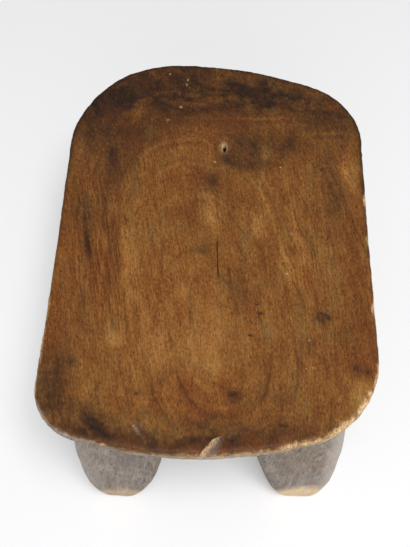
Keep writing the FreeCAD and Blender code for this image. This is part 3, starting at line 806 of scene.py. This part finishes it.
def lay_colours(owner, colour, layers):
    """Lays colours over a first one, in order, and returns the last mix."""
    for source, start, full, most, added in layers:
        share = add(owner, "MapRange", {
            "Value": source, "From Min": start, "From Max": full, "To Max": most,
        })
        colour = add(owner, "Mix", {
            FACTOR: share.outputs[0], FIRST: colour, SECOND: added,
        }, data_type="RGBA").outputs[MIXED]
    return colour


print("mid brown is", [round(part, 3) for part in linear("#7A502B")])

# %% [markdown]
# ### Weathered hardwood, hewn and never finished
# The legs, the rim's wall and the underside still have the surface that the knife left. Dust and light
# greyed it, handling left warm clouds on it, faint streaks run along the grain and thin scratches cross
# it, some pale and some dark. Both materials use it, so it is one function that returns colour and height.

# %% Weathered wood
def add_weathered(owner, place, along):
    """Grey scratched wood; along holds the number of streaks per metre on each axis."""
    streaks = add(owner, "VectorMath", {0: place, 1: along}, operation="MULTIPLY").outputs[0]
    grain = add(owner, "TexNoise", {"Vector": streaks, "Scale": 1.0, "Detail": 3.0}).outputs[0]
    # clouds of about 20 by 50 mm and mottle of about 5 by 13 mm, both upright
    upright = add(owner, "VectorMath", {0: place, 1: (1, 1, 0.4)}, operation="MULTIPLY").outputs[0]
    clouds, mottle = [
        add(owner, "TexNoise", {
            "Vector": upright, "Scale": per_metre, "Detail": detail, "Roughness": 0.6,
        }).outputs[0]
        for per_metre, detail in ((48.0, 4.0), (190.0, 3.0))
    ]
    layers = [  # what a colour follows, where it starts and where it is full, the most of it, the colour
        (grain, 0.25, 0.75, 1.0, "#8F847A"),
        (clouds, 0.48, 0.70, 0.55, "#7C6752"),
        (clouds, 0.46, 0.28, 0.6, "#A39E98"),
        (mottle, 0.52, 0.72, 0.4, "#5F544A"),
        (mottle, 0.48, 0.30, 0.35, "#A79E94"),
    ]
    # scratches of about 1.2 mm by 36 mm, twice as wide as real ones so that they show in the picture
    scratches = (((0, 0.25, 0), "#3F372F"), ((0.2, -0.35, 0), "#453C34"), ((0, 0.1, 0.4), "#A39A90"))
    for turn, tint in scratches:
        slant = add(owner, "Mapping", {
            "Vector": place, "Rotation": turn, "Scale": (0.0012, 0.0012, 0.036),
        }, vector_type="TEXTURE").outputs[0]
        scratch = add(owner, "TexNoise", {"Vector": slant, "Scale": 1.0, "Detail": 1.0}).outputs[0]
        layers.append((scratch, 0.62, 0.70, 0.72, tint))
    return lay_colours(owner, "#7B7067", layers), grain


print("weathered wood is ready for the legs and the rim")

# %% [markdown]
# The legs wear that grey wood, with streaks of about 2.5 by 14 mm up the leg. Over it come the painted
# light on the outer sides, the painted shade high up under the seat and the pale wood of the rubbed feet,
# each where the vertices say. The surface is matt and a little rough, because nobody ever sanded or oiled
# it.

# %% Wood of the legs
leg_wood, shader = new_material("weathered_adze_hewn_hardwood")
place = add(leg_wood, "TexCoord").outputs["Object"]
grey, height = add_weathered(leg_wood, place, (400, 400, 70))
painted_side_light, painted_shade, rubbed = [
    add(leg_wood, "Attribute", attribute_name=name).outputs["Fac"]
    for name in ("painted_side_light", "painted_shade", "bare")
]
pale = lay_colours(leg_wood, "#BFA079", [(height, 0.0, 1.0, 1.0, "#E6CFAA")])
leg_colour = lay_colours(leg_wood, grey, [
    # painted light on the outer sides
    (painted_side_light, 0.0, 1.0, 1.0, "#B9AFA6"),
    # painted shade high on the legs, under the seat
    (painted_shade, 0.0, 2.0, 1.0, "#6B6056"),
    (rubbed, 0.0, 1.0, 1.0, pale),
])
bump = add(leg_wood, "Bump", {"Height": height, "Strength": 0.2, "Distance": 0.0005})
leg_wood.node_tree.links.new(leg_colour, shader.inputs["Base Color"])
leg_wood.node_tree.links.new(bump.outputs[0], shader.inputs["Normal"])
shader.inputs["Roughness"].default_value = 0.75
shader.inputs["Specular IOR Level"].default_value = 0.2
for piece in leg_pieces:
    piece.data.materials.append(leg_wood)
print("legs wear", leg_wood.name)

# %% [markdown]
# ### Hardwood rubbed by hand, dark with patina
# The top was never varnished: hands, clothes and oil gave it a satin skin, golden where it is worn and
# nearly black where dirt stayed. Under it the growth rings show as nested ovals, because the dish cuts
# through rings that lie almost flat. The rings are cylinders about the log's pith, far below the seat, so
# the distance to that line says which ring a point is in. They are about 2.4 mm thick.

# %% Rings of the seat
PITH = (0.002, -0.0775, -0.249)  # a point on the pith, in metres
GRAIN = (-0.208, 0.977, -0.038)  # the way the log grew
seat_wood, shader = new_material("hand_rubbed_patinated_hardwood")
place = add(seat_wood, "TexCoord").outputs["Object"]
bend = add(seat_wood, "TexNoise", {"Vector": place, "Scale": 17.0, "Detail": 2.0})
from_pith = add(seat_wood, "VectorMath", {0: place, 1: PITH}, operation="SUBTRACT")
beside = add(seat_wood, "VectorMath", {0: from_pith.outputs[0], 1: GRAIN}, operation="CROSS_PRODUCT")
distance = add(seat_wood, "VectorMath", {0: beside.outputs[0]}, operation="LENGTH")
swayed = add(seat_wood, "Math", {
    0: bend.outputs[0], 1: 0.0025, 2: distance.outputs["Value"],
}, operation="MULTIPLY_ADD").outputs[0]
rings = add(seat_wood, "TexNoise", {
    "W": swayed, "Scale": 420.0, "Detail": 3.0, "Roughness": 0.65,
}, noise_dimensions="1D").outputs[0]
print("rings about the pith at", PITH, "along", GRAIN)

# %% [markdown]
# Everything else in the grain is noise on stretched coordinates. Fine lines follow the rings, 0.7 mm thick
# and 50 mm long, and fibres are about 1.2 by 20 mm. Real pores are a few tenths of a millimetre wide, and
# here they are dashes of about 1 by 3 mm, so that they show in the picture. Oil and dirt soaked in
# unevenly, in blots of about 11 by 31 mm and 7 by 12 mm, with detail down to less than a millimetre.

# %% Grain of the seat
along = add(seat_wood, "VectorMath", {0: place, 1: GRAIN}, operation="DOT_PRODUCT").outputs["Value"]
on_rings = add(seat_wood, "CombineXYZ", {"X": swayed, "Y": along}).outputs[0]
on_fibres = add(seat_wood, "Attribute", attribute_name="straight").outputs["Vector"]
noises = {}
for name, start, per_metre, detail, roughness in (
    ("lines", on_rings, (1500, 20, 1), 3.0, 0.6),
    ("pores", on_fibres, (900, 360, 900), 3.0, 0.7),
    ("fibres", on_fibres, (800, 50, 800), 2.0, 0.5),
    ("oil", on_fibres, (90, 32, 90), 5.0, 0.78),
    ("dirt", on_fibres, (150, 80, 150), 5.0, 0.78),
):
    stretched = add(seat_wood, "VectorMath", {0: start, 1: per_metre}, operation="MULTIPLY").outputs[0]
    noises[name] = add(seat_wood, "TexNoise", {
        "Vector": stretched, "Scale": 1.0, "Detail": detail, "Roughness": roughness,
    }).outputs[0]
print("noises of the grain:", ", ".join(noises))

# %% [markdown]
# What the vertices say is too smooth, so the blots are added to it: the oil to what is ruddy and the dirt
# to the patina. The fibres become as strong as the place is streaky.

# %% Oil, dirt and fibres of the seat
painted = {
    name: add(seat_wood, "Attribute", attribute_name=name).outputs["Fac"]
    for name in ("ruddy", "patina_and_shade", "streaky", "weathered", "bare", "hollow")
}
for name, blots, amount in (("ruddy", "oil", 2.1), ("patina_and_shade", "dirt", 0.95)):
    painted[name] = add(seat_wood, "Math", {
        0: noises[blots], 1: amount, 2: painted[name],
    }, operation="MULTIPLY_ADD").outputs[0]
about_zero = add(seat_wood, "Math", {0: noises["fibres"], 1: 0.5}, operation="SUBTRACT").outputs[0]
fibres = add(seat_wood, "Math", {0: about_zero, 1: painted["streaky"]}, operation="MULTIPLY").outputs[0]
print("the seat's vertices carry", ", ".join(painted))

# %% [markdown]
# The colours go on in the order in which time put them there: golden wood with its rings, the red and the
# yellow of the oil, pale lines, pores and fibres, the dirt with some painted shade, dark fibres, lines and
# pores, then the grey of weather and the bare wood of every knock. Last comes painted shade, almost black,
# in the cracks, the knot's hole and along the round of the far rim.

# %% Colours of the seat
grey, _ = add_weathered(seat_wood, place, (500, 60, 700))
lines, pores = noises["lines"], noises["pores"]
fresh = lay_colours(seat_wood, "#E8CEA2", [(pores, 0.36, 0.6, 1.0, "#A47A47")])
layers = [  # what a colour follows, where it starts and where it is full, the most of it, the colour
    (rings, 0.0, 1.0, 1.0, "#98632A"),
    (painted["ruddy"], 1.15, 1.85, 0.8, "#783809"),
    (painted["ruddy"], 1.1, 0.75, 0.55, "#8A6E3C"),
    (lines, 0.46, 0.28, 0.4, "#AE7F42"),
    (pores, 0.47, 0.28, 0.55, "#B98B4A"),
    (fibres, -0.02, -0.14, 0.5, "#B98544"),
    (painted["patina_and_shade"], 0.75, 0.35, 0.3, "#9C7A48"),
    (painted["patina_and_shade"], 0.45, 1.65, 1.0, "#251810"),
    (painted["ruddy"], 1.2, 1.9, 0.4, "#6B3D1A"),
    (fibres, 0.02, 0.14, 0.65, "#421A06"),
    (pores, 0.45, 0.28, 0.22, "#8F5A28"),
    (lines, 0.55, 0.74, 0.53, "#2A180B"),
    (pores, 0.53, 0.72, 0.85, "#2A180B"),
    (painted["weathered"], 0.0, 1.0, 1.0, grey),
    (painted["bare"], 0.0, 1.0, 1.0, fresh),
    # painted shade, almost black, in the cracks, the knot's hole and along the round of the far rim
    (painted["hollow"], 0.0, 1.0, 1.0, "#160D07"),
]
colour = lay_colours(seat_wood, "#784316", layers)
print("seat has", len(layers), "layers of colour")

# %% [markdown]
# Hands polished the top to a satin, so its roughness is middling, and weathered wood is duller. The pores
# are tiny pits, so the bump sinks them by a fraction of a millimetre, which is too fine to model.

# %% Shine of the seat
dullness = add(seat_wood, "MapRange", {"Value": painted["weathered"], "To Min": 0.54, "To Max": 0.8})
bump = add(seat_wood, "Bump", {"Height": pores, "Strength": 0.35, "Distance": 0.0004}, invert=True)
seat_wood.node_tree.links.new(colour, shader.inputs["Base Color"])
seat_wood.node_tree.links.new(dullness.outputs[0], shader.inputs["Roughness"])
seat_wood.node_tree.links.new(bump.outputs[0], shader.inputs["Normal"])
shader.inputs["Specular IOR Level"].default_value = 0.15
seat_piece.data.materials.append(seat_wood)
print("seat wears", seat_wood.name)

# %% [markdown]
# ## Studio
# The stool stands on a white sheet of paper. The floor is a plain plane. Light that makes it white would
# bleach the stool, so a quarter of what the camera sees of it is a glow of its own, and the rest keeps the
# stool's shadow.

# %% Floor
GLOW = 0.25  # share of the paper that glows, for the camera and in reflections only
floor_mesh = bmesh.new()
bmesh.ops.create_grid(floor_mesh, x_segments=1, y_segments=1, size=3)
floor = new_object(floor_mesh, "studio_floor")
floor_paper, shader = new_material("matt_white_paper")
shader.inputs["Base Color"].default_value = linear("#EBEBEC")
shader.inputs["Roughness"].default_value = 0.9
glow = add(floor_paper, "Emission", {"Color": "#F8F8F9", "Strength": 1.0})
seen = add(floor_paper, "LightPath").outputs
direct = 0.0
for ray in ("Is Camera Ray", "Is Glossy Ray", "Is Transmission Ray"):
    direct = add(floor_paper, "Math", {0: direct, 1: seen[ray]}, operation="MAXIMUM").outputs[0]
share = add(floor_paper, "Math", {0: direct, 1: GLOW}, operation="MULTIPLY")
paper = add(floor_paper, "MixShader", {0: share.outputs[0], 1: shader.outputs[0], 2: glow.outputs[0]})
surface = floor_paper.node_tree.nodes["Material Output"].inputs["Surface"]
floor_paper.node_tree.links.new(paper.outputs[0], surface)
floor.data.materials.append(floor_paper)
print("floor of", round(floor.dimensions.x), "by", round(floor.dimensions.y), "m")

# %% [markdown]
# A soft lamp hangs about 2 m above the floor, to the right and a little in front. A broad weak one stands
# in front, so that the legs aren't dark and the shadow is only a breath of grey. The air gives even light
# from all sides, and looks brighter to the camera than the light that it gives.

# %% Air and lamps
world = bpy.data.worlds.new("studio_air")
world.use_nodes = True
world.node_tree.nodes["Background"].inputs["Color"].default_value = linear("#F3F3F4")
seen = add(world, "LightPath").outputs
bright = add(world, "Math", {0: seen["Is Camera Ray"], 1: 0.55, 2: 0.38}, operation="MULTIPLY_ADD")
world.node_tree.links.new(bright.outputs[0], world.node_tree.nodes["Background"].inputs["Strength"])
bpy.context.scene.world = world


def add_lamp(name, spot, aim, size, power):
    """A square soft lamp at a spot, turned to face the point aim."""
    data = bpy.data.lights.new(name, "AREA")
    data.size = size
    data.energy = power
    lamp = bpy.data.objects.new(name, data)
    lamp.location = spot
    lamp.rotation_euler = (Vector(aim) - Vector(spot)).to_track_quat("-Z", "Y").to_euler()
    bpy.context.scene.collection.objects.link(lamp)


add_lamp("overhead_softbox", (0.275, -0.625, 1.975), (0, 0, 0.1), 0.75, 35)
add_lamp("front_fill", (0.1, -2.4, 1.3), (0, 0, 0.1), 1.6, 17)
bpy.context.scene.view_settings.view_transform = "Standard"

# %% [markdown]
# The camera was fitted to the outline of the seat and to the feet: it stands before the stool and looks
# steeply down. Blender wants a lens in millimetres, so the focal length in pixels is set against the
# height of the picture.

# %% Camera
FOCAL, PICTURE_HEIGHT = 810.9, 547  # both in pixels
LOOKS_DOWN, TURNED = 60.17, 1.8  # degrees
eye = bpy.data.cameras.new("photo_camera")
eye.sensor_fit = "VERTICAL"
eye.sensor_height = 36
eye.lens = FOCAL / PICTURE_HEIGHT * eye.sensor_height
camera = bpy.data.objects.new("photo_camera", eye)
camera.location = (0.00447, -0.34315, 0.69527)
camera.rotation_euler = (math.radians(90 - LOOKS_DOWN), 0, math.radians(TURNED))
bpy.context.scene.collection.objects.link(camera)
bpy.context.scene.camera = camera
print("camera looks down by", round(LOOKS_DOWN), "degrees with a", round(eye.lens, 1), "mm lens")
